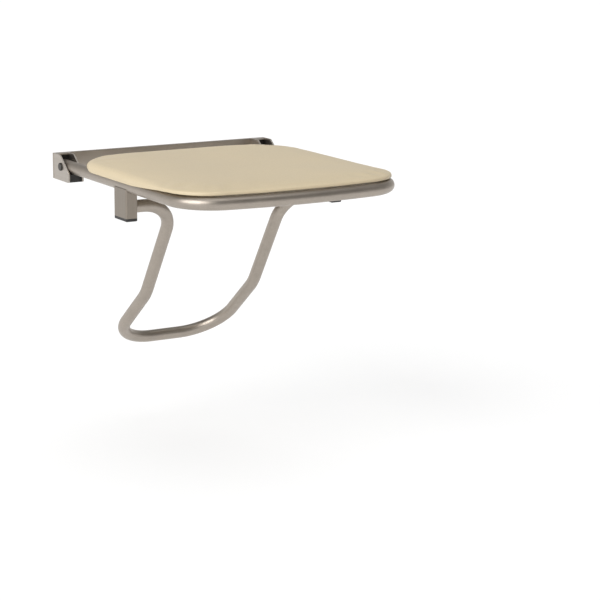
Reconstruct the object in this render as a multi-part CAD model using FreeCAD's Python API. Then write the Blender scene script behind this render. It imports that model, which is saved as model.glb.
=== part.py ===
import FreeCAD, Part
import math
import os

# Fold down wall seat, in millimetres. X runs along the wall, -Y points into the room, +Z is up.
# The origin is on the wall, at the middle of the rail's row of screw holes.

# Modelling values shared by all pieces
cutter_overrun = 1.0            # how far a drill or cutter runs past the metal
same_place = 0.01               # two positions closer than this are one

# Wall rail
rail_length = 400.0
rail_height = 42.0
rail_thickness = 6.0
rail_edge_round = 1.0
screw_hole_count = 4
screw_hole_spacing = 80.0
screw_hole_diameter = 6.5
countersink_diameter = 13.0

# Round tube of the seat frame and of the support loop
tube_diameter = 20.0
tube_wall = 1.5

# Hinge between the rail's brackets and the seat's arms
hinge_depth = 32.0              # wall to hinge axis
hinge_height = 2.0              # hinge axis above the rail's middle
ear_thickness = 2.5
ear_side_gap = 1.0              # between an arm and each ear
ear_top_setback = 4.0           # the ear's top ends this far behind the hinge axis
ear_nose_reach = 30.0           # and its nose this far in front of it
ear_nose_height = 15.0
ear_corner_round = 3.0
web_depth = 8.0                 # roof that joins the two ears, measured from the rail
hinge_pin_diameter = 8.0
hinge_pin_head_diameter = 13.0
hinge_pin_head_height = 2.5
hinge_pin_tail = 3.5            # past the inner ear
clip_groove_diameter = 6.4
clip_thickness = 1.0
clip_diameter = 13.0
clip_mouth = 5.0
clip_setback = 0.8              # from the inner ear to the clip
sleeve_wall = 1.45
running_fit = 0.05              # radial clearance of every turning pin
end_play = 0.1                  # at each end of a hinge sleeve and of a stop dowel

# Black plastic insert that lines each bracket and carries the arm when the seat is down
insert_back = 3.0
insert_clearance = 0.13         # between its floor and the rear end of a turning arm
insert_stop_setback = 12.0      # hinge axis to the rear of the raised stop
insert_stop_length = 14.0
stop_gap = 0.05                 # between the stop and an arm that rests on it

# Seat frame
seat_reach = 476.0              # wall to the centre of the front tube
frame_corner_radius = 68.0
front_bow = 18.0                # rise of the front's arc over the distance between the arms
arm_tail = 14.0                 # arm behind the hinge axis
plug_flange = 2.0
plug_length = 6.0

# Posts that hang from the arms and carry the support loop
post_distance = 246.0           # wall to the middle of a post
post_length = 44.0              # along the arm
post_width = 20.0
post_wall = 2.0
post_corner_round = 3.0
post_least_round = 0.5          # of the corners inside the post
post_drop = 50.0                # arm's centre line to the end of the steel
post_overlap = 4.0              # the post's top ends this far below the arm's centre line
post_cap_height = 5.0
post_cap_round = 2.0
peg_diameter = 5.0
peg_length = 8.0
peg_offset = 14.0

# Pivot of the support loop, inside each post
pivot_drop = 35.0               # arm's centre line to the pivot axis
spigot_diameter = 12.0
spigot_hole_clearance = 0.5
spigot_plug_length = 16.0
spigot_collar = 1.5
spigot_tip_gap = 1.0
pivot_block_height = 33.5
pivot_block_lift = 0.5          # above the end of the post
stop_dowel_diameter = 4.0
stop_dowel_reach = 11.0         # pivot axis to the dowel's tip
stop_dowel_recess = 0.1         # from the spigot's surface to the rim of the dowel's tail
swing_range = 50.0              # degrees, from the loop against the wall to the loop tucked up

# Support loop
loop_end_gap = 2.5              # post to the end of the loop's tube
leg_spacing = 202.0
upper_leg_length = 198.5
upper_leg_angle = 32.14         # degrees from straight down, towards the wall
bar_drop = 106.5                # elbow to the bar that meets the wall
top_bend_radius = 56.0
elbow_radius = 80.0
bar_corner_radius = 74.0

# Seat board and the two flat bars under it
board_thickness = 8.0
board_gap = 2.5                 # between the board and the arms
bar_width = 30.0
bar_thickness = 4.0
rear_bar_distance = 105.0       # wall to the middle of the rear bar
front_bar_setback = 101.0       # centre of the front tube to the middle of the front bar
screw_spacing = 220.0
screw_diameter = 4.5
screw_bite = 6.0
screw_head_diameter = 9.0
screw_head_height = 2.6
bar_hole_clearance = 0.3

# Moulded pad
pad_seat_height = 4.0           # arm's centre line to the pad's underside
pad_side_overhang = 1.5         # past the outside of the arms
pad_front_overhang = 1.5        # past the centre line of the front tube
pad_rear_distance = 50.0        # wall to the pad's rear edge
pad_rear_corner = 92.0
pad_front_corner = 75.0
pad_lip_rise = 7.0              # the lip's lower edge climbs by this much on to the front tube
pad_lip_rise_start = 265.0      # wall to the start and the end of the climb
pad_lip_rise_end = 410.0
pad_clearance = 0.3
pad_smallest_corner = 12.0
# Rings of the pad's skin: how far inside the outline, and how high above the underside
pad_rings = [(1.0, 0.0), (0.0, 3.5), (0.0, 7.0), (1.2, 10.5), (4.0, 14.0),
             (9.0, 16.4), (18.0, 17.9), (45.0, 19.8), (100.0, 21.0)]

# Places worked out from the sizes above
tube_radius = tube_diameter / 2
tube_bore_radius = tube_radius - tube_wall
arm_z = hinge_height
ear_gap = tube_diameter + 2 * ear_side_gap
arm_x = rail_length / 2 - ear_thickness - ear_gap / 2
outer_ear_x = rail_length / 2
inner_ear_x = outer_ear_x - 2 * ear_thickness - ear_gap
rail_top = rail_height / 2
hinge_y = -hinge_depth
arm_rear_y = hinge_y + arm_tail
sleeve_radius = hinge_pin_diameter / 2 + running_fit + sleeve_wall
bow_radius = (arm_x ** 2 + front_bow ** 2) / (2 * front_bow)
bow_centre_y = bow_radius - seat_reach
post_y = -post_distance
post_bottom = arm_z - post_drop
post_inner_x = arm_x - post_width / 2
cavity_width = post_width - 2 * post_wall
pivot_z = arm_z - pivot_drop
spigot_radius = spigot_diameter / 2
stop_dowel_radius = stop_dowel_diameter / 2
stop_dowel_tail = math.sqrt(spigot_radius ** 2 - stop_dowel_radius ** 2) - stop_dowel_recess
loop_end_x = post_inner_x - loop_end_gap
pad_bottom = arm_z + pad_seat_height
pad_half_width = arm_x + tube_radius + pad_side_overhang
pad_front_reach = seat_reach + pad_front_overhang
board_inset = pad_half_width - (arm_x - tube_radius - board_gap)
board_bottom = pad_bottom - board_thickness
bar_bottom = board_bottom - bar_thickness
bar_middles = [-rear_bar_distance, front_bar_setback - seat_reach]


def vec(x, y, z):
    return FreeCAD.Vector(x, y, z)


def block(x_range, y_range, z_range):
    """Box between the two limits on each axis."""
    low = vec(min(x_range), min(y_range), min(z_range))
    size = [abs(limits[1] - limits[0]) for limits in (x_range, y_range, z_range)]
    return Part.makeBox(size[0], size[1], size[2], low)


def rod(radius, start, end):
    """Round bar from one point to another."""
    axis = end - start
    return Part.makeCylinder(radius, axis.Length, start, axis)


def rod_x(radius, x_range, y, z):
    return rod(radius, vec(x_range[0], y, z), vec(x_range[1], y, z))


def end_rim(rod_shape, direction):
    """Round edge at the end of a rod that faces a direction."""
    rims = [edge for edge in rod_shape.Edges if len(edge.Vertexes) == 1]
    return [max(rims, key=lambda edge: edge.CenterOfMass.dot(direction))]


def write(name, shape):
    shape.exportStep("parts/" + name + ".step")


def write_pair(name, right_shape):
    """Write a piece of the right side, and its mirror image for the left side."""
    write(name + "_right", right_shape)
    write(name + "_left", right_shape.mirror(vec(0, 0, 0), vec(1, 0, 0)))


def rounded_path(points, radii):
    """Straight runs through the points, joined by tangent arcs."""
    edges = []
    start = points[0]
    for before, corner, after, radius in zip(points, points[1:], points[2:], radii):
        back = (before - corner).normalize()
        ahead = (after - corner).normalize()
        half_angle = back.getAngle(ahead) / 2
        run = radius / math.tan(half_angle)
        middle = (back + ahead).normalize()
        centre = corner + middle * (radius / math.sin(half_angle))
        arc_start = corner + back * run
        arc_end = corner + ahead * run
        edges.append(Part.LineSegment(start, arc_start).toShape())
        edges.append(Part.Arc(arc_start, centre - middle * radius, arc_end).toShape())
        start = arc_end
    edges.append(Part.LineSegment(start, points[-1]).toShape())
    return Part.Wire(edges)


def solid_along(path, radius):
    """Round solid that follows a path."""
    first = path.OrderedEdges[0]
    start = first.valueAt(first.FirstParameter)
    direction = first.tangentAt(first.FirstParameter)
    section = Part.Wire([Part.Circle(start, direction, radius).toShape()])
    return path.makePipeShell([section], True, False)


def tube_along(path):
    return solid_along(path, tube_radius).cut(solid_along(path, tube_bore_radius))


def corner_centre(half_width, corner_radius, outer_radius):
    """Centre of a corner that touches a side and the bowed front, on the +X side."""
    x = half_width - corner_radius
    y = bow_centre_y - math.sqrt((outer_radius - corner_radius) ** 2 - x ** 2)
    return vec(x, y, 0)


def corner_arc(centre, radius, bow_end):
    """Arc from the side to the end of the bow, on the +X side."""
    side_end = centre + vec(radius, 0, 0)
    middle = ((side_end - centre) + (bow_end - centre)).normalize()
    return Part.Arc(side_end, centre + middle * radius, bow_end).toShape()


def bowed_front(half_width, corner_radius, outer_radius, z):
    """Right corner, bowed front and left corner, with the two points where they meet the sides."""
    centre = corner_centre(half_width, corner_radius, outer_radius)
    bow_centre = vec(0, bow_centre_y, 0)
    bow_end = bow_centre + (centre - bow_centre).normalize() * outer_radius
    right_corner = corner_arc(centre, corner_radius, bow_end)
    left_corner = right_corner.mirror(vec(0, 0, 0), vec(1, 0, 0))
    mirrored_end = vec(-bow_end.x, bow_end.y, 0)
    front_middle = vec(0, bow_centre_y - outer_radius, 0)
    bow = Part.Arc(bow_end, front_middle, mirrored_end).toShape()
    edges = [right_corner, bow, left_corner]
    for edge in edges:
        edge.translate(vec(0, 0, z))
    right_side = vec(half_width, centre.y, z)
    left_side = vec(-half_width, centre.y, z)
    return edges, right_side, left_side


def frame_path():
    """Centre line of the seat frame: right arm, front, left arm."""
    edges, right_side, left_side = bowed_front(arm_x, frame_corner_radius, bow_radius, arm_z)
    right_arm = Part.LineSegment(vec(arm_x, arm_rear_y, arm_z), right_side).toShape()
    left_arm = Part.LineSegment(left_side, vec(-arm_x, arm_rear_y, arm_z)).toShape()
    return Part.Wire([right_arm] + edges + [left_arm])


def pad_outline(inset, z):
    """Closed outline of the pad, drawn in by an inset on every side."""
    half_width = pad_half_width - inset
    rear_y = -pad_rear_distance - inset
    rear_radius = max(pad_rear_corner - inset, pad_smallest_corner)
    front_radius = max(pad_front_corner - inset, pad_smallest_corner)
    outer_radius = bow_radius - (seat_reach - pad_front_reach) - inset
    edges, right_side, left_side = bowed_front(half_width, front_radius, outer_radius, z)
    corner = vec(half_width - rear_radius, rear_y - rear_radius, z)
    side_end = corner + vec(rear_radius, 0, 0)
    rear_end = corner + vec(0, rear_radius, 0)
    diagonal = corner + vec(1, 1, 0).normalize() * rear_radius
    right_rear = Part.Arc(rear_end, diagonal, side_end).toShape()
    left_rear = right_rear.mirror(vec(0, 0, 0), vec(1, 0, 0))
    right_line = Part.LineSegment(side_end, right_side).toShape()
    left_line = Part.LineSegment(left_side, vec(-side_end.x, side_end.y, z)).toShape()
    rear_line = Part.LineSegment(vec(-rear_end.x, rear_end.y, z), rear_end).toShape()
    return Part.Wire([right_rear, right_line] + edges + [left_line, left_rear, rear_line])


def make_wall_rail():
    rail = block((-rail_length / 2, rail_length / 2), (-rail_thickness, 0), (-rail_top, rail_top))
    front_edges = [edge for edge in rail.Edges
                   if abs(edge.CenterOfMass.y + rail_thickness) < same_place
                   and abs(edge.Length - rail_length) < same_place]
    rail = rail.makeFillet(rail_edge_round, front_edges)
    first_x = -screw_hole_spacing * (screw_hole_count - 1) / 2
    cone_depth = (countersink_diameter - screw_hole_diameter) / 2
    for index in range(screw_hole_count):
        x = first_x + index * screw_hole_spacing
        hole = rod(screw_hole_diameter / 2, vec(x, cutter_overrun, 0),
                   vec(x, -rail_thickness - cutter_overrun, 0))
        cone = Part.makeCone(countersink_diameter / 2, screw_hole_diameter / 2, cone_depth,
                             vec(x, -rail_thickness, 0), vec(0, 1, 0))
        rail = rail.cut(hole).cut(cone)
    return rail


def make_hinge_bracket():
    """Two ears joined by a short roof, welded to the front of the rail."""
    top_y = hinge_y + ear_top_setback
    nose_y = hinge_y - ear_nose_reach
    nose_z = -rail_top + ear_nose_height
    side = [vec(0, -rail_thickness, -rail_top), vec(0, -rail_thickness, rail_top), vec(0, top_y, rail_top),
            vec(0, nose_y, nose_z), vec(0, nose_y, -rail_top)]
    face = Part.Face(Part.makePolygon(side + side[:1]))
    ears = []
    for x in (inner_ear_x, outer_ear_x - ear_thickness):
        ear = face.extrude(vec(ear_thickness, 0, 0))
        corner_edges = [edge for edge in ear.Edges
                        if abs(edge.Length - ear_thickness) < same_place
                        and edge.CenterOfMass.y < top_y + same_place]
        ear = ear.makeFillet(ear_corner_round, corner_edges)
        ear.translate(vec(x, 0, 0))
        ears.append(ear)
    roof = block((inner_ear_x, outer_ear_x), (-rail_thickness, -rail_thickness - web_depth),
                 (rail_top - ear_thickness, rail_top))
    bracket = ears[0].fuse([ears[1], roof]).removeSplitter()
    pin_hole = rod_x(hinge_pin_diameter / 2, (inner_ear_x - cutter_overrun, outer_ear_x + cutter_overrun),
                     hinge_y, arm_z)
    return bracket.cut(pin_hole)


def make_stop_insert():
    """Back, floor and raised stop of the plastic insert between the two ears."""
    back_y = -rail_thickness - insert_back
    stop_rear_y = hinge_y - insert_stop_setback
    stop_front_y = stop_rear_y - insert_stop_length
    arm_end_sweep = math.hypot(arm_tail + plug_flange, tube_radius)
    floor_z = arm_z - arm_end_sweep - insert_clearance
    stop_z = arm_z - tube_radius - stop_gap
    roof_z = rail_top - ear_thickness
    side = [(-rail_thickness, -rail_top), (-rail_thickness, roof_z), (back_y, roof_z), (back_y, floor_z),
            (stop_rear_y, floor_z), (stop_rear_y, stop_z), (stop_front_y, stop_z), (stop_front_y, -rail_top)]
    left_x = inner_ear_x + ear_thickness
    points = [vec(left_x, y, z) for y, z in side]
    return Part.Face(Part.makePolygon(points + points[:1])).extrude(vec(ear_gap, 0, 0))


def clip_groove_range():
    near = inner_ear_x - clip_setback
    return near - clip_thickness, near


def make_hinge_pin():
    """Headed pin through both ears, with a groove for its clip past the inner ear."""
    shank = rod_x(hinge_pin_diameter / 2, (inner_ear_x - hinge_pin_tail, outer_ear_x), hinge_y, arm_z)
    head = rod_x(hinge_pin_head_diameter / 2, (outer_ear_x, outer_ear_x + hinge_pin_head_height),
                 hinge_y, arm_z)
    head = head.makeFillet(hinge_pin_head_height / 2, end_rim(head, vec(1, 0, 0)))
    groove = rod_x(hinge_pin_diameter, clip_groove_range(), hinge_y, arm_z)
    core = rod_x(clip_groove_diameter / 2, clip_groove_range(), hinge_y, arm_z)
    return shank.cut(groove.cut(core)).fuse(head).removeSplitter()


def make_hinge_clip():
    """Open retaining ring that snaps on to the pin's groove from below."""
    ring = rod_x(clip_diameter / 2, clip_groove_range(), hinge_y, arm_z)
    bore = rod_x(clip_groove_diameter / 2, clip_groove_range(), hinge_y, arm_z)
    mouth = block(clip_groove_range(), (hinge_y - clip_mouth / 2, hinge_y + clip_mouth / 2),
                  (arm_z - clip_diameter, arm_z))
    return ring.cut(bore).cut(mouth)


def make_hinge_sleeve():
    """Plastic sleeve through the arm that turns on the hinge pin and spaces the arm from the ears."""
    half_length = ear_gap / 2 - end_play
    x_range = (arm_x - half_length, arm_x + half_length)
    outside = rod_x(sleeve_radius, x_range, hinge_y, arm_z)
    return outside.cut(rod_x(hinge_pin_diameter / 2 + running_fit, x_range, hinge_y, arm_z))


def make_seat_frame():
    frame = tube_along(frame_path())
    for side in (-1, 1):
        hole = rod_x(sleeve_radius, (side * arm_x - ear_gap, side * arm_x + ear_gap), hinge_y, arm_z)
        frame = frame.cut(hole)
    return frame


def make_arm_plug():
    """Plug that closes the rear end of an arm."""
    flange = rod(tube_radius, vec(arm_x, arm_rear_y, arm_z), vec(arm_x, arm_rear_y + plug_flange, arm_z))
    body = rod(tube_bore_radius, vec(arm_x, arm_rear_y - plug_length, arm_z), vec(arm_x, arm_rear_y, arm_z))
    return flange.fuse(body).removeSplitter()


def post_box(margin, z_range):
    """Box along a post with rounded corners, smaller than the post by a margin on each side."""
    box = block((arm_x - post_width / 2 + margin, arm_x + post_width / 2 - margin),
                (post_y - post_length / 2 + margin, post_y + post_length / 2 - margin), z_range)
    uprights = [edge for edge in box.Edges if edge.BoundBox.ZLength > same_place]
    return box.makeFillet(max(post_corner_round - margin, post_least_round), uprights)


def arm_rod():
    """Solid outline of the arm where something is shaped to meet it."""
    return rod(tube_radius, vec(arm_x, 0, arm_z), vec(arm_x, -seat_reach, arm_z))


def make_post():
    """Rectangular tube with its top shaped to the arm and a hole for the loop's spigot."""
    top = arm_z - post_overlap
    post = post_box(0, (post_bottom, top)).cut(post_box(post_wall, (post_bottom, top)))
    hole = rod_x(spigot_radius + spigot_hole_clearance, (post_inner_x - cutter_overrun, arm_x),
                 post_y, pivot_z)
    return post.cut(arm_rod()).cut(hole)


def dowel_direction(degrees):
    """Unit vector from the pivot axis, at an angle from straight down towards the wall."""
    angle = math.radians(degrees)
    return vec(0, math.sin(angle), -math.cos(angle))


def make_dowel_slot():
    """Room that the stop dowel sweeps, open at the bottom, with one flat at each end of its travel."""
    half_width = stop_dowel_radius + running_fit
    reach = post_drop               # far enough to come out of the block's bottom
    start = vec(arm_x - stop_dowel_radius - end_play, post_y, pivot_z)
    front = dowel_direction(-swing_range / 2)
    rear = dowel_direction(swing_range / 2)
    front_side = vec(0, front.z, -front.y) * half_width
    rear_side = vec(0, -rear.z, rear.y) * half_width
    corners = [start + front_side, start + front_side + front * reach,
               start + rear_side + rear * reach, start + rear_side]
    face = Part.Face(Part.makePolygon(corners + corners[:1]))
    return face.extrude(vec(stop_dowel_diameter + 2 * end_play, 0, 0))


def peg_rod(side, radius, z_range):
    y = post_y + side * peg_offset
    return rod(radius, vec(arm_x, y, z_range[0]), vec(arm_x, y, z_range[1]))


def make_pivot_block():
    """Plastic bearing that fills the post, with the bore, the dowel's slot and the cap's peg holes."""
    bottom = post_bottom + pivot_block_lift
    body = post_box(post_wall, (bottom, bottom + pivot_block_height))
    bore = rod_x(spigot_radius + running_fit, (post_inner_x, arm_x + post_width), post_y, pivot_z)
    body = body.cut(bore).cut(make_dowel_slot())
    for side in (-1, 1):
        body = body.cut(peg_rod(side, peg_diameter / 2, (post_bottom, post_bottom + peg_length)))
    return body


def make_post_cap():
    """Black end cap with two pegs that press into the pivot block."""
    plate = post_box(0, (post_bottom - post_cap_height, post_bottom))
    lower_edges = [edge for edge in plate.Edges
                   if abs(edge.CenterOfMass.z - plate.BoundBox.ZMin) < same_place]
    cap = plate.makeFillet(post_cap_round, lower_edges)
    for side in (-1, 1):
        cap = cap.fuse(peg_rod(side, peg_diameter / 2, (post_bottom, post_bottom + peg_length)))
    return cap.removeSplitter()


def loop_path():
    """Centre line of the support loop, from the right spigot round to the left one."""
    angle = math.radians(upper_leg_angle)
    leg_x = leg_spacing / 2
    elbow_y = post_y + upper_leg_length * math.sin(angle)
    elbow_z = pivot_z - upper_leg_length * math.cos(angle)
    bar_y = -tube_radius
    bar_z = elbow_z - bar_drop
    right = [vec(loop_end_x, post_y, pivot_z), vec(leg_x, post_y, pivot_z),
             vec(leg_x, elbow_y, elbow_z), vec(leg_x, bar_y, bar_z)]
    left = [vec(-point.x, point.y, point.z) for point in reversed(right)]
    bends = [top_bend_radius, elbow_radius, bar_corner_radius]
    return rounded_path(right + left, bends + bends[::-1])


def make_spigot():
    """Turned end of the loop: a plug in the tube, a collar and the shaft that turns in the post."""
    plug = rod_x(tube_bore_radius, (loop_end_x - spigot_plug_length, loop_end_x), post_y, pivot_z)
    collar = rod_x(tube_radius, (loop_end_x, loop_end_x + spigot_collar), post_y, pivot_z)
    tip_x = arm_x + cavity_width / 2 - spigot_tip_gap
    shaft = rod_x(spigot_radius, (loop_end_x, tip_x), post_y, pivot_z)
    return plug.fuse([collar, shaft]).removeSplitter().cut(dowel_rod())


def dowel_rod():
    centre = vec(arm_x, post_y, pivot_z)
    along = dowel_direction(-swing_range / 2)
    return rod(stop_dowel_radius, centre - along * stop_dowel_tail, centre + along * stop_dowel_reach)


def screw_places():
    return [vec(side * screw_spacing / 2, y, 0) for y in bar_middles for side in (-1, 1)]


def screw_rod(place, radius, z_range):
    return rod(radius, vec(place.x, place.y, z_range[0]), vec(place.x, place.y, z_range[1]))


def make_cross_bar(middle_y):
    """Flat bar between the arms, with its ends shaped to them."""
    bar = block((-arm_x, arm_x), (middle_y - bar_width / 2, middle_y + bar_width / 2),
                (bar_bottom, board_bottom))
    right_arm = arm_rod()
    bar = bar.cut(right_arm).cut(right_arm.mirror(vec(0, 0, 0), vec(1, 0, 0)))
    for place in screw_places():
        hole = screw_rod(place, screw_diameter / 2 + bar_hole_clearance, (bar_bottom, board_bottom))
        bar = bar.cut(hole)
    return bar


def make_seat_board():
    board = Part.Face(pad_outline(board_inset, board_bottom)).extrude(vec(0, 0, board_thickness))
    for place in screw_places():
        board = board.cut(screw_rod(place, screw_diameter / 2, (board_bottom, board_bottom + screw_bite)))
    return board


def make_board_screws():
    screws = []
    for place in screw_places():
        shank = screw_rod(place, screw_diameter / 2, (bar_bottom, board_bottom + screw_bite))
        head = screw_rod(place, screw_head_diameter / 2, (bar_bottom - screw_head_height, bar_bottom))
        head = head.makeFillet(screw_head_height / 2, end_rim(head, vec(0, 0, -1)))
        screws.append(head.fuse(shank).removeSplitter())
    return Part.makeCompound(screws)


def make_lip_cutter():
    """What is missing under the pad's lip, outside the frame's centre line, as it climbs to the front."""
    low_z = pad_bottom - cutter_overrun
    lip_z = pad_bottom + pad_lip_rise
    front_y = -pad_front_reach - cutter_overrun
    side = [(-pad_lip_rise_start, pad_bottom), (-pad_lip_rise_end, lip_z), (front_y, lip_z),
            (front_y, low_z), (-pad_lip_rise_start, low_z)]
    half_width = pad_half_width + cutter_overrun
    points = [vec(-half_width, y, z) for y, z in side]
    wedge = Part.Face(Part.makePolygon(points + points[:1])).extrude(vec(2 * half_width, 0, 0))
    ends = [vec(-arm_x, arm_rear_y, arm_z), vec(arm_x, arm_rear_y, arm_z)]
    closed_path = Part.Wire(frame_path().OrderedEdges + [Part.LineSegment(ends[0], ends[1]).toShape()])
    inside = Part.Face(closed_path).extrude(vec(0, 0, lip_z))
    return wedge.cut(inside)


def make_seat_pad():
    """Crowned pad with rolled edges, grooved underneath to sit over the tube of the frame."""
    rings = [pad_outline(inset, pad_bottom + height) for inset, height in pad_rings]
    pad = Part.makeLoft(rings, True, True)
    return pad.cut(solid_along(frame_path(), tube_radius + pad_clearance)).cut(make_lip_cutter())


def build():
    os.makedirs("parts", exist_ok=True)
    write("wall_rail", make_wall_rail())
    write_pair("hinge_bracket", make_hinge_bracket())
    write_pair("stop_insert", make_stop_insert())
    write_pair("hinge_pin", make_hinge_pin())
    write_pair("hinge_clip", make_hinge_clip())
    write("seat_frame", make_seat_frame())
    write_pair("hinge_sleeve", make_hinge_sleeve())
    write_pair("arm_plug", make_arm_plug())
    write_pair("post", make_post())
    write_pair("pivot_block", make_pivot_block())
    write_pair("post_cap", make_post_cap())
    write("cross_bar_rear", make_cross_bar(bar_middles[0]))
    write("cross_bar_front", make_cross_bar(bar_middles[1]))
    write("seat_board", make_seat_board())
    write("board_screws", make_board_screws())
    write("seat_pad", make_seat_pad())
    write("support_loop", tube_along(loop_path()))
    write_pair("spigot", make_spigot())
    write_pair("stop_dowel", dowel_rod())


build()
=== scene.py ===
import math

import bmesh
import bpy
from mathutils import Matrix, Vector
from mathutils.kdtree import KDTree


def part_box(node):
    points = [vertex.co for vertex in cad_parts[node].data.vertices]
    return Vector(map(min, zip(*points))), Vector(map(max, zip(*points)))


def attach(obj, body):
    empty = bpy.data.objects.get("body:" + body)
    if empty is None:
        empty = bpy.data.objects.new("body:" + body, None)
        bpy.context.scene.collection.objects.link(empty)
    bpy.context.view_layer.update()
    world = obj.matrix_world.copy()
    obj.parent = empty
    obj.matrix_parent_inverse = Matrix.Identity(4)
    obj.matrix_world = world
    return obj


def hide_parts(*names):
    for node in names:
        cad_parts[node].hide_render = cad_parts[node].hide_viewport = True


# Fold down wall seat, in metres: X along the wall, -Y into the room, +Z up, the wall at Y = 0

# Camera at the photograph's place, fitted to the seat's edges
image_side = 600.0                       # pixels
camera_focal_length = 2013.85            # pixels
camera_place = (-1.5382, -3.0389, 0.5136)
camera_azimuth = -30.8615                # degrees
camera_elevation = 12.6300
camera_roll = 0.4556
sensor_width = 36.0                      # millimetres

# Studio
seat_height = 0.480                      # floor to the top of the pad
floor_half_side = 30.0
floor_albedo = 0.80
floor_glow = 0.50                        # what a camera or a reflection sees besides the lit part
floor_lit_share = 0.55
fill_strength = 0.45
sun_width = 50.0                         # degrees, for soft shadows
# Each sun: direction towards it, and how bright it makes a white surface that faces it
suns = {
    "key_left": ((-0.814, -0.296, 0.50), 0.75),
    "top": ((0.10, -0.15, 1.0), 0.18),
}
# What metal sees of the room: overhead, beyond the seat, behind the camera and in the lamp on its left
room_overhead = 0.20
room_far_side = 0.80
room_near_side = 0.34
room_lamp = 0.35
room_lamp_direction = (-0.60, -0.45, 0.66)
room_depth_span = (-0.5, 0.5)            # from the near side to the far side, as a direction's Y
room_height_span = (0.15, 0.75)          # from the walls to the ceiling, as a direction's Z
room_lamp_span = (0.75, 1.0)             # from the lamp's rim to its middle, as a direction's share along it
room_tint = (1.0, 0.985, 0.96, 1.0)
white = (1.0, 1.0, 1.0, 1.0)

# Colours, linear
taupe = (0.40, 0.355, 0.308)             # brushed tube and bar
shaded_taupe = (0.295, 0.258, 0.218)     # posts: the tube's steel darkened, painted shade
lit_taupe = (0.47, 0.43, 0.385)      # hinge brackets: the tube's steel lightened, painted light
blackened = (0.07, 0.065, 0.06)          # hinge pins
bright = (0.40, 0.37, 0.33)              # turned steel
black = (0.018, 0.017, 0.016)
black_dust = (0.07, 0.07, 0.068)
nylon = (0.72, 0.69, 0.60)
nylon_dust = (0.80, 0.77, 0.70)
board = (0.45, 0.40, 0.33)
board_dust = (0.56, 0.51, 0.44)
cream = (0.645, 0.540, 0.365)

# Surface detail, as scales per metre and lengths in metres
noise_low = 0.3                          # noise mostly lies between these two
noise_high = 0.7
tube_grain = (260.0, 260.0, 260.0)
grain_along = 14.0                       # a small scale draws long lines
grain_across = 900.0
broad_grain_share = 0.22
steel_edge = 0.0007                      # width over which an edge is worn
turned_edge = 0.0005
plastic_edge = 0.0006

# Seat frame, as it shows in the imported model
tube_radius = 0.010
front_bow = 0.018                        # rise of the front's arc between the arms
frame_corner_radius = 0.068

# Pad
pad_rear_corner = 0.092
pad_front_corner = 0.075
pad_smallest_corner = 0.012
pad_underside_inset = 0.050              # first ring of the underside
pad_side_height = 0.007                  # upright part of the edge
pad_roll_width = 0.014
pad_side_rows = (0.0035, 0.0055)         # rings between the lip and the roll
pad_roll_height = 0.0094
pad_roll_angles = (12, 24, 36, 48, 60, 72, 84)
pad_crown_insets = (0.016, 0.020, 0.026, 0.034, 0.045, 0.058, 0.074, 0.092, 0.112, 0.134, 0.156, 0.178)
pad_crown_run = 0.100                    # from the outline inwards, over which the crown rises
pad_lip_rise = 0.0078                    # the lip climbs by this much on to the front tube
pad_lip_rise_start = -0.265
pad_lip_rise_end = -0.410
pad_lip_round = 0.0012
pad_lip_round_share = 0.3                # where a ring halves the lip's round
pad_lip_slope_width = 0.0105             # from the tube's centre line inwards, down to the underside
pad_swell = 0.0015                       # the skin starts this far inside and swells out by as much
pad_groove_clearance = 0.0005
pad_groove_tail = 0.05                   # how far the groove's cutter runs on behind the arms
pad_groove_sides = 48
pad_held_normal = -0.5                   # faces turned further down than this are held
pad_sharp_angle = 50.0
pad_voxel = 0.0045
pad_cloth_quality = 6
pad_cloth_mass = 0.3
pad_cloth_stiffness = 25.0
pad_cloth_bending = 2.0
pad_pressure = 4.0
pad_frames = 20
pad_blur = 0.006                         # reach over which the swelling is smoothed
pad_neighbours = 14

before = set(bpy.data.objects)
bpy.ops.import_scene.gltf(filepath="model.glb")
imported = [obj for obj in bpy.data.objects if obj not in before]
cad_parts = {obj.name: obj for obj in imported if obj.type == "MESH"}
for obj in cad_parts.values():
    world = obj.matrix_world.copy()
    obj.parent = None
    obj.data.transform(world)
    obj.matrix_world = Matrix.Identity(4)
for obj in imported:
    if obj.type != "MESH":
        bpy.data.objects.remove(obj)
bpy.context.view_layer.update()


def add_node(tree, kind, inputs=None, **settings):
    """Shader node with its settings, and each input given as a value or as another node's output."""
    made = tree.nodes.new("ShaderNode" + kind)
    for name, value in settings.items():
        setattr(made, name, value)
    for name, value in (inputs or {}).items():
        socket = made.inputs[name]
        if isinstance(value, bpy.types.NodeSocket):
            tree.links.new(value, socket)
        else:
            socket.default_value = value
    return made


def maths(tree, operation, first, second=0.0):
    return add_node(tree, "Math", {0: first, 1: second}, operation=operation).outputs[0]


def mix_colours(tree, factor, first, second):
    mixed = add_node(tree, "Mix", {0: factor, 6: first, 7: second}, data_type="RGBA")
    return mixed.outputs[2]


def remap(tree, value, low, high, new_low, new_high):
    """Value taken from one range to another, held at its ends."""
    made = add_node(tree, "MapRange", {"Value": value, "From Min": low, "From Max": high,
                                       "To Min": new_low, "To Max": new_high})
    return made.outputs["Result"]


def spread(tree, noise, new_low, new_high):
    """Noise taken from the range that it mostly lies in to another."""
    return remap(tree, noise, noise_low, noise_high, new_low, new_high)


def scaled(colour, factor):
    return tuple(channel * factor for channel in colour[:3]) + (1.0,)


def new_material(name):
    material = bpy.data.materials.new(name)
    material.use_nodes = True
    shader = material.node_tree.nodes["Principled BSDF"]
    return material, material.node_tree, shader


def noise_at(tree, place, scale, detail=3.0, rough=0.55):
    """Noise on a place, with one scale for each axis."""
    moved = add_node(tree, "Mapping", {"Vector": place, "Scale": scale}).outputs["Vector"]
    noise = add_node(tree, "TexNoise", {"Vector": moved, "Scale": 1.0, "Detail": detail, "Roughness": rough})
    return noise.outputs["Fac"]


def object_place(tree):
    return add_node(tree, "TexCoord").outputs["Object"]


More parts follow.
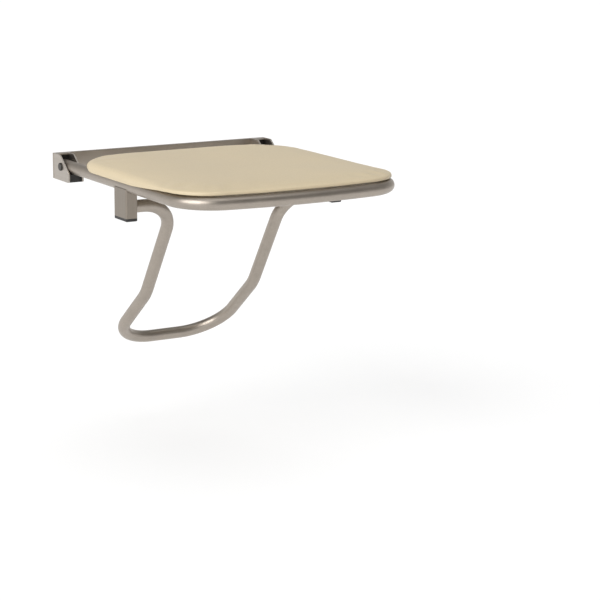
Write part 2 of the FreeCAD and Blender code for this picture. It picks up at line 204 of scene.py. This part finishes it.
def edge_wear(tree, radius):
    """1 near a convex or sharp edge, 0 on the faces, from how a rounded normal differs from the true one."""
    rounded = add_node(tree, "Bevel", {"Radius": radius}, samples=6).outputs["Normal"]
    true_normal = add_node(tree, "NewGeometry").outputs["Normal"]
    together = add_node(tree, "VectorMath", {0: rounded, 1: true_normal}, operation="DOT_PRODUCT")
    return remap(tree, together.outputs["Value"], 0.80, 0.995, 1.0, 0.0), rounded


def steel_material(name, colour, roughness, grain):
    """Satin steel with grain lines that are long where the grain's scale is small."""
    material, tree, shader = new_material(name)
    place = object_place(tree)
    broad_grain = tuple(scale * broad_grain_share for scale in grain)
    lines = noise_at(tree, place, grain, detail=4.0, rough=0.6)
    broad_lines = noise_at(tree, place, broad_grain, detail=2.0)
    clouds = noise_at(tree, place, (22.0, 22.0, 22.0))
    wear, rounded = edge_wear(tree, steel_edge)
    tone = mix_colours(tree, spread(tree, clouds, 0.0, 1.0), scaled(colour, 0.93), scaled(colour, 1.05))
    lined = mix_colours(tree, remap(tree, lines, 0.25, 0.75, 0.0, 0.35), tone, scaled(colour, 0.80))
    banded = mix_colours(tree, spread(tree, broad_lines, 0.0, 0.22), lined, scaled(colour, 1.16))
    worn = mix_colours(tree, maths(tree, "MULTIPLY", wear, 0.5), banded, scaled(colour, 1.25))
    tree.links.new(worn, shader.inputs["Base Color"])
    shader.inputs["Metallic"].default_value = 1.0
    rough = maths(tree, "ADD", remap(tree, lines, 0.2, 0.8, roughness - 0.07, roughness + 0.07),
                  spread(tree, clouds, -0.03, 0.04))
    tree.links.new(rough, shader.inputs["Roughness"])
    bump = add_node(tree, "Bump", {"Height": lines, "Strength": 0.25, "Distance": 0.00006, "Normal": rounded})
    tree.links.new(bump.outputs["Normal"], shader.inputs["Normal"])
    return material


def turned_material(name, colour, roughness):
    """Brighter steel with fine turning marks around the X axis."""
    material, tree, shader = new_material(name)
    place = object_place(tree)
    rings = noise_at(tree, place, (4200.0, 90.0, 90.0))
    clouds = noise_at(tree, place, (60.0, 60.0, 60.0), detail=2.0)
    wear, rounded = edge_wear(tree, turned_edge)
    tone = mix_colours(tree, rings, scaled(colour, 0.86), scaled(colour, 1.08))
    worn = mix_colours(tree, maths(tree, "MULTIPLY", wear, 0.4), tone, scaled(colour, 1.2))
    tree.links.new(worn, shader.inputs["Base Color"])
    shader.inputs["Metallic"].default_value = 1.0
    tree.links.new(spread(tree, clouds, roughness - 0.05, roughness + 0.07), shader.inputs["Roughness"])
    bump = add_node(tree, "Bump", {"Height": rings, "Strength": 0.2, "Distance": 0.00005, "Normal": rounded})
    tree.links.new(bump.outputs["Normal"], shader.inputs["Normal"])
    return material


def plastic_material(name, colour, roughness, grain_scale, dust):
    """Moulded plastic with a fine spark-eroded grain, rubbed lighter at its edges."""
    material, tree, shader = new_material(name)
    place = object_place(tree)
    grain = noise_at(tree, place, (grain_scale,) * 3, detail=2.0)
    clouds = noise_at(tree, place, (35.0, 35.0, 35.0))
    wear, rounded = edge_wear(tree, plastic_edge)
    tone = mix_colours(tree, clouds, scaled(colour, 0.85), scaled(colour, 1.15))
    worn = mix_colours(tree, maths(tree, "MULTIPLY", wear, 0.45), tone, dust + (1.0,))
    tree.links.new(worn, shader.inputs["Base Color"])
    tree.links.new(spread(tree, clouds, roughness - 0.06, roughness + 0.08), shader.inputs["Roughness"])
    bump = add_node(tree, "Bump", {"Height": grain, "Strength": 0.3, "Distance": 0.0001, "Normal": rounded})
    tree.links.new(bump.outputs["Normal"], shader.inputs["Normal"])
    return material


def pad_material():
    """Cream moulded skin: fine pebbled grain, soft cloudy tone and slightly uneven gloss."""
    material, tree, shader = new_material("pad_skin")
    place = object_place(tree)
    clouds = noise_at(tree, place, (9.0, 9.0, 9.0))
    mottle = noise_at(tree, place, (160.0, 160.0, 160.0))
    cells = add_node(tree, "TexVoronoi", {"Vector": place, "Scale": 620.0}, feature="SMOOTH_F1")
    pebbles = cells.outputs["Distance"]
    tone = mix_colours(tree, spread(tree, clouds, 0.0, 1.0), scaled(cream, 0.965), scaled(cream, 1.03))
    spotted = mix_colours(tree, spread(tree, mottle, 0.0, 0.30), tone, scaled(cream, 0.94))
    grooved = mix_colours(tree, remap(tree, pebbles, 0.35, 0.75, 0.0, 0.30), spotted, scaled(cream, 0.90))
    tree.links.new(grooved, shader.inputs["Base Color"])
    rough = maths(tree, "ADD", remap(tree, pebbles, 0.2, 0.7, 0.42, 0.52), spread(tree, clouds, -0.03, 0.03))
    tree.links.new(rough, shader.inputs["Roughness"])
    shader.inputs["Specular IOR Level"].default_value = 0.45
    height = maths(tree, "ADD", maths(tree, "MULTIPLY", pebbles, -1.0), maths(tree, "MULTIPLY", mottle, 0.6))
    bump = add_node(tree, "Bump", {"Height": height, "Strength": 0.22, "Distance": 0.00012})
    tree.links.new(bump.outputs["Normal"], shader.inputs["Normal"])
    return material


def paint(names, material):
    """Give CAD nodes one material."""
    for name in names:
        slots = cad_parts[name].data.materials
        slots.clear()
        slots.append(material)


def pair(name):
    return [name + "_left", name + "_right"]


def paint_cad():
    along_x = (grain_along, grain_across, grain_across)
    along_y = (grain_across, grain_along, grain_across)
    along_z = (grain_across, grain_across, grain_along)
    paint(["seat_frame", "support_loop"], steel_material("satin_tube", taupe, 0.40, tube_grain))
    paint(["wall_rail", "cross_bar_rear", "cross_bar_front"],
          steel_material("satin_bar", taupe, 0.38, along_x))
    # The posts take a darker copy of the tube's steel: painted shade.
    paint(pair("post"), steel_material("satin_post_shaded", shaded_taupe, 0.38, along_z))
    # The hinge brackets take a lighter copy of the tube's steel: painted light.
    paint(pair("hinge_bracket"), steel_material("satin_bracket_lit", lit_taupe, 0.38, along_y))
    paint(pair("hinge_pin"), turned_material("blackened_steel", blackened, 0.34))
    paint(pair("spigot"), turned_material("turned_steel", bright, 0.26))
    paint(pair("hinge_clip") + pair("stop_dowel") + ["board_screws"],
          turned_material("small_steel", bright, 0.30))
    # Black plastic for the caps and plugs. The stop inserts sit in the hinge brackets' openings, where their
    # black partly stands for the shade there: painted shade.
    paint(pair("stop_insert") + pair("arm_plug") + pair("post_cap"),
          plastic_material("black_plastic", black, 0.45, 1500.0, black_dust))
    paint(pair("hinge_sleeve") + pair("pivot_block"),
          plastic_material("natural_nylon", nylon, 0.50, 900.0, nylon_dust))
    paint(["seat_board"], plastic_material("board_plastic", board, 0.60, 700.0, board_dust))


def arc(centre, radius, start, end, count):
    """Points on a circle from one angle to another, in degrees, without the last one."""
    points = []
    for index in range(count):
        angle = math.radians(start + (end - start) * index / count)
        points.append((centre[0] + radius * math.cos(angle), centre[1] + radius * math.sin(angle)))
    return points


def straight(start, end, count):
    """Points from one place towards another, without the last one."""
    points = []
    for index in range(count):
        step = index / count
        points.append((start[0] + (end[0] - start[0]) * step, start[1] + (end[1] - start[1]) * step))
    return points


frame_low, frame_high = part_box("seat_frame")
pad_low, pad_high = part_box("seat_pad")
arm_x = frame_high.x - tube_radius
arm_z = (frame_high.z + frame_low.z) / 2
front_y = frame_low.y + tube_radius
bow_radius = (arm_x ** 2 + front_bow ** 2) / (2 * front_bow)
bow_centre_y = front_y + bow_radius
known_outlines = {}


def bowed_half(half_width, corner_radius, outer_radius):
    """Centre of a corner that touches a side and the bowed front, and the angle where it meets the bow."""
    x = half_width - corner_radius
    y = bow_centre_y - math.sqrt((outer_radius - corner_radius) ** 2 - x ** 2)
    meet = math.degrees(math.atan2(y - bow_centre_y, x))
    return (x, y), meet


def pad_outline(inset):
    """Closed outline of the pad, drawn in by an inset, always with as many points."""
    if inset in known_outlines:
        return known_outlines[inset]
    half_width = pad_high.x - inset
    rear_y = pad_high.y - inset
    rear_radius = max(pad_rear_corner - inset, pad_smallest_corner)
    front_radius = max(pad_front_corner - inset, pad_smallest_corner)
    outer_radius = bow_centre_y - pad_low.y - inset
    front_centre, meet = bowed_half(half_width, front_radius, outer_radius)
    rear_centre = (half_width - rear_radius, rear_y - rear_radius)
    half = straight((0.0, rear_y), (rear_centre[0], rear_y), 24)
    half += arc(rear_centre, rear_radius, 90.0, 0.0, 20)
    half += straight((half_width, rear_centre[1]), (half_width, front_centre[1]), 44)
    half += arc(front_centre, front_radius, 0.0, meet, 30)
    half += arc((0.0, bow_centre_y), outer_radius, meet, -90.0, 26)
    half.append((0.0, bow_centre_y - outer_radius))
    known_outlines[inset] = half + [(-x, y) for x, y in reversed(half[1:-1])]
    return known_outlines[inset]


def pad_outline_point(index, inset):
    """One point of the outline at an inset, which may differ from point to point."""
    return pad_outline(round(inset, 6))[index]


def lip_rise(y):
    """How far the lip's lower edge has climbed at a distance from the wall."""
    share = (y - pad_lip_rise_start) / (pad_lip_rise_end - pad_lip_rise_start)
    share = min(max(share, 0.0), 1.0)
    return pad_lip_rise * share * share * (3 - 2 * share)


def skin_height(inset):
    """Height of the pad's top above its underside at an inset from the outline."""
    out = 1 - min(inset / pad_roll_width, 1.0)
    in_crown = 1 - min(inset / pad_crown_run, 1.0)
    crown = pad_high.z - pad_low.z - pad_side_height - pad_roll_height
    roll = pad_roll_height * math.sqrt(1 - out * out)
    return pad_side_height + roll + crown * (1 - in_crown * in_crown)


def skin_insets():
    """Insets of the rings over the roll and the crown, closest together where the roll is steep."""
    roll = [pad_roll_width * (1 - math.cos(math.radians(angle))) for angle in pad_roll_angles]
    return roll + list(pad_crown_insets)


def mesh_object(name, vertices, faces):
    mesh = bpy.data.meshes.new(name)
    mesh.from_pydata(vertices, [], faces)
    mesh.update()
    made = bpy.data.objects.new(name, mesh)
    bpy.context.scene.collection.objects.link(made)
    return made


def ring_faces(ring_count, side_count):
    """Four-sided faces between rings of points, and strips of faces across the first and the last ring."""
    faces = []
    for ring in range(ring_count - 1):
        for side in range(side_count):
            after = (side + 1) % side_count
            low = ring * side_count
            high = low + side_count
            faces.append((low + side, low + after, high + after, high + side))
    for start in (0, (ring_count - 1) * side_count):
        faces.append((start, start + 1, start + side_count - 1))
        for side in range(1, side_count // 2 - 1):
            opposite = side_count - side
            faces.append((start + side, start + side + 1, start + opposite - 1, start + opposite))
        middle = start + side_count // 2
        faces.append((middle - 1, middle, middle + 1))
    return faces


def outward(made):
    """Turn the faces of a closed mesh outwards."""
    work = bmesh.new()
    work.from_mesh(made.data)
    bmesh.ops.recalc_face_normals(work, faces=work.faces)
    work.to_mesh(made.data)
    work.free()


def tube_distance(point, line):
    """How far an outline point is from the middle of the frame's tube."""
    best = pad_roll_width
    place = Vector(point)
    for first, second in zip(line, line[1:]):
        along = Vector(second) - Vector(first)
        share = min(max((place - Vector(first)).dot(along) / along.length_squared, 0.0), 1.0)
        best = min(best, (place - Vector(first) - along * share).length)
    return best


def pad_skin(name, shrink):
    """Closed skin of the pad, in rings from the underside round the lip and over the top."""
    outline = pad_outline(shrink)
    line = frame_centre_line(0.0)
    depths = [max(tube_distance(point, line), 2 * pad_lip_round) for point in outline]
    squeeze = 1 - shrink / (pad_high.z - pad_low.z)
    vertices = []

    def add_ring(inset_of, height_of):
        for index, depth in enumerate(depths):
            x, y = pad_outline_point(index, inset_of(depth) + shrink)
            rise = lip_rise(outline[index][1])
            vertices.append((x, y, pad_low.z + height_of(rise)))

    def side_height(rise, height):
        """Height on the lip's side, squeezed above the climbing lip."""
        low = rise + pad_lip_round
        return low + (height - pad_lip_round) * (1 - rise / skin_height(pad_roll_width))

    part_round = pad_lip_round * pad_lip_round_share
    add_ring(lambda depth: pad_underside_inset, lambda rise: 0.0)
    add_ring(lambda depth: depth + pad_lip_slope_width, lambda rise: 0.0)
    add_ring(lambda depth: depth, lambda rise: rise)
    add_ring(lambda depth: pad_lip_round, lambda rise: rise)
    add_ring(lambda depth: part_round, lambda rise: rise + part_round)
    for height in (pad_lip_round,) + pad_side_rows:
        add_ring(lambda depth: 0.0, lambda rise, height=height: side_height(rise, height) * squeeze)
    for inset in skin_insets():
        height = skin_height(inset)
        share = min(inset / pad_roll_width, 1.0)
        add_ring(lambda depth, inset=inset: inset,
                 lambda rise, height=height, share=share:
                 (side_height(rise, height) * (1 - share) + height * share) * squeeze)
    ring_count = len(vertices) // len(outline)
    made = mesh_object(name, vertices, ring_faces(ring_count, len(outline)))
    outward(made)
    return made


def apply_modifiers(made):
    """Keep what the modifiers make, and drop them."""
    bpy.context.view_layer.update()
    graph = bpy.context.evaluated_depsgraph_get()
    mesh = bpy.data.meshes.new_from_object(made.evaluated_get(graph))
    old = made.data
    made.modifiers.clear()
    made.data = mesh
    bpy.data.meshes.remove(old)


def pin_underside(made):
    """Vertex group that holds the underside, which rests on the board and the tube."""
    group = made.vertex_groups.new(name="held")
    held = [vertex.index for vertex in made.data.vertices if vertex.normal.z < pad_held_normal]
    group.add(held, 1.0, "REPLACE")
    return group.name


def swelling(source):
    """Blow up an evenly meshed copy of the skin, as foam fills it: start places and capped moves."""
    scene = bpy.context.scene
    made = bpy.data.objects.new("foam", source.data.copy())
    scene.collection.objects.link(made)
    remesh = made.modifiers.new("even_faces", "REMESH")
    remesh.mode = "VOXEL"
    remesh.voxel_size = pad_voxel
    apply_modifiers(made)
    places = [vertex.co.copy() for vertex in made.data.vertices]
    cloth = made.modifiers.new("swell", "CLOTH")
    cloth.settings.quality = pad_cloth_quality
    cloth.settings.mass = pad_cloth_mass
    cloth.settings.tension_stiffness = pad_cloth_stiffness
    cloth.settings.compression_stiffness = pad_cloth_stiffness
    cloth.settings.bending_stiffness = pad_cloth_bending
    cloth.settings.use_pressure = True
    cloth.settings.uniform_pressure_force = pad_pressure
    cloth.settings.effector_weights.gravity = 0.0
    cloth.settings.vertex_group_mass = pin_underside(made)
    cloth.point_cache.frame_start = 1
    cloth.point_cache.frame_end = pad_frames
    for number in range(1, pad_frames + 1):
        scene.frame_set(number)
    graph = bpy.context.evaluated_depsgraph_get()
    swollen = made.evaluated_get(graph).data
    moves = []
    for before, vertex in zip(places, swollen.vertices):
        move = vertex.co - before
        if move.length > pad_swell:
            move *= pad_swell / move.length
        moves.append(move)
    mesh = made.data
    bpy.data.objects.remove(made)
    bpy.data.meshes.remove(mesh)
    scene.frame_set(1)
    return places, moves


def follow_swelling(made, places, moves):
    """Move the rings of the skin with the swollen copy, smoothed over its nearest points."""
    tree = KDTree(len(places))
    for index, place in enumerate(places):
        tree.insert(place, index)
    tree.balance()
    for vertex in made.data.vertices:
        total = Vector()
        weights = 0.0
        for _, index, distance in tree.find_n(vertex.co, pad_neighbours):
            weight = math.exp(-(distance / pad_blur) ** 2)
            total += moves[index] * weight
            weights += weight
        vertex.co += total / weights
    made.data.update()


def frame_centre_line(tail):
    """Points along the middle of the frame's tube, with the arms' ends moved back by a tail."""
    centre, meet = bowed_half(arm_x, frame_corner_radius, bow_radius)
    half = straight((arm_x, frame_high.y + tail), (arm_x, centre[1]), 8)
    half += arc(centre, frame_corner_radius, 0.0, meet, 20)
    half += arc((0.0, bow_centre_y), bow_radius, meet, -90.0, 20)
    return half + [(0.0, front_y)] + [(-x, y) for x, y in reversed(half)]


def flat_tube(name, points, z, radius, sides):
    """Closed round tube along level points."""
    vertices = []
    for index, point in enumerate(points):
        before = points[max(index - 1, 0)]
        after = points[min(index + 1, len(points) - 1)]
        along = Vector((after[0] - before[0], after[1] - before[1], 0.0)).normalized()
        across = Vector((0.0, 0.0, 1.0)).cross(along)
        for side in range(sides):
            angle = 2 * math.pi * side / sides
            place = Vector((point[0], point[1], z)) + across * radius * math.cos(angle)
            vertices.append(place + Vector((0.0, 0.0, radius * math.sin(angle))))
    made = mesh_object(name, vertices, ring_faces(len(points), sides))
    outward(made)
    return made


def cut_groove(made):
    """Take the frame's tube, with room around it, out of the pad."""
    groove_radius = tube_radius + pad_groove_clearance
    cutter = flat_tube("groove_cutter", frame_centre_line(pad_groove_tail), arm_z, groove_radius,
                       pad_groove_sides)
    cut = made.modifiers.new("groove", "BOOLEAN")
    cut.object = cutter
    cut.operation = "DIFFERENCE"
    cut.solver = "MANIFOLD"
    apply_modifiers(made)
    mesh = cutter.data
    bpy.data.objects.remove(cutter)
    bpy.data.meshes.remove(mesh)


def make_pad():
    made = pad_skin("seat_cushion", pad_swell)
    places, moves = swelling(made)
    follow_swelling(made, places, moves)
    finer = made.modifiers.new("finer", "SUBSURF")
    finer.levels = 1
    finer.render_levels = 1
    apply_modifiers(made)
    cut_groove(made)
    made.data.shade_smooth()
    made.data.set_sharp_from_angle(angle=math.radians(pad_sharp_angle))
    made.data.materials.clear()
    made.data.materials.append(pad_material())
    made.data.polygons.foreach_set("material_index", [0] * len(made.data.polygons))
    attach(made, "seat")
    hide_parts("seat_pad")


def add_camera():
    azimuth = math.radians(camera_azimuth)
    elevation = math.radians(camera_elevation)
    roll = math.radians(camera_roll)
    back = Vector((math.sin(azimuth) * math.cos(elevation), -math.cos(azimuth) * math.cos(elevation),
                   math.sin(elevation)))
    level = Vector((math.cos(azimuth), math.sin(azimuth), 0.0))
    upright = back.cross(level)
    right = level * math.cos(roll) + upright * math.sin(roll)
    up = upright * math.cos(roll) - level * math.sin(roll)
    data = bpy.data.cameras.new("camera")
    data.sensor_fit = "HORIZONTAL"
    data.sensor_width = sensor_width
    data.lens = camera_focal_length / image_side * sensor_width
    data.clip_end = 4 * floor_half_side
    made = bpy.data.objects.new("camera", data)
    bpy.context.scene.collection.objects.link(made)
    matrix = Matrix((right, up, back)).transposed().to_4x4()
    matrix.translation = camera_place
    made.matrix_world = matrix
    bpy.context.scene.camera = made


def seen_directly(tree):
    """1 for camera, glossy and transmission rays, 0 for the rays that light things."""
    path = add_node(tree, "LightPath")
    either = maths(tree, "MAXIMUM", path.outputs["Is Camera Ray"], path.outputs["Is Glossy Ray"])
    return maths(tree, "MAXIMUM", either, path.outputs["Is Transmission Ray"])


def room_light(tree):
    """Brightness of the room as metal sees it: dark overhead, pale beyond the seat, one soft lamp."""
    direction = add_node(tree, "TexCoord").outputs["Generated"]
    split = add_node(tree, "SeparateXYZ", {"Vector": direction})
    depth = remap(tree, split.outputs["Y"], *room_depth_span, room_near_side, room_far_side)
    height = remap(tree, split.outputs["Z"], *room_height_span, 0.0, 1.0)
    to_lamp = add_node(tree, "VectorMath", {0: direction, 1: room_lamp_direction}, operation="DOT_PRODUCT")
    lamp = remap(tree, to_lamp.outputs["Value"], *room_lamp_span, 0.0, room_lamp)
    walls = maths(tree, "MULTIPLY", depth, maths(tree, "SUBTRACT", 1.0, height))
    ceiling = maths(tree, "MULTIPLY", height, room_overhead)
    return maths(tree, "ADD", maths(tree, "ADD", walls, ceiling), lamp)


def add_world():
    world = bpy.data.worlds.new("studio")
    bpy.context.scene.world = world
    world.use_nodes = True
    tree = world.node_tree
    tree.nodes.clear()
    path = add_node(tree, "LightPath")
    fill = add_node(tree, "Background", {"Color": white, "Strength": fill_strength})
    room = add_node(tree, "Background", {"Color": room_tint, "Strength": room_light(tree)})
    backdrop = add_node(tree, "Background", {"Color": white, "Strength": 1.0})
    shown = maths(tree, "MAXIMUM", path.outputs["Is Camera Ray"], path.outputs["Is Transmission Ray"])
    in_metal = add_node(tree, "MixShader",
                        {0: path.outputs["Is Glossy Ray"], 1: fill.outputs[0], 2: room.outputs[0]})
    everything = add_node(tree, "MixShader", {0: shown, 1: in_metal.outputs[0], 2: backdrop.outputs[0]})
    add_node(tree, "OutputWorld", {"Surface": everything.outputs[0]})


def floor_material():
    material = bpy.data.materials.new("pale_floor")
    material.use_nodes = True
    tree = material.node_tree
    tree.nodes.clear()
    plain = add_node(tree, "BsdfDiffuse", {"Color": scaled(white, floor_albedo)})
    lit = add_node(tree, "BsdfDiffuse", {"Color": scaled(white, floor_lit_share)})
    glow = add_node(tree, "Emission", {"Color": white, "Strength": floor_glow})
    pale = add_node(tree, "AddShader", {0: lit.outputs[0], 1: glow.outputs[0]})
    both = add_node(tree, "MixShader", {0: seen_directly(tree), 1: plain.outputs[0], 2: pale.outputs[0]})
    add_node(tree, "OutputMaterial", {"Surface": both.outputs[0]})
    return material


def add_floor():
    z = pad_high.z - seat_height
    side = floor_half_side
    corners = [(-side, -side, z), (side, -side, z), (side, side, z), (-side, side, z)]
    made = mesh_object("floor", corners, [(0, 1, 2, 3)])
    made.data.materials.append(floor_material())


def add_suns():
    for name, (direction, brightness) in suns.items():
        data = bpy.data.lights.new(name, "SUN")
        data.angle = math.radians(sun_width)
        data.energy = math.pi * brightness
        made = bpy.data.objects.new(name, data)
        bpy.context.scene.collection.objects.link(made)
        made.rotation_euler = Vector(direction).to_track_quat("Z", "Y").to_euler()


paint_cad()
make_pad()
add_camera()
add_world()
add_floor()
add_suns()
bpy.context.scene.view_settings.view_transform = "Standard"
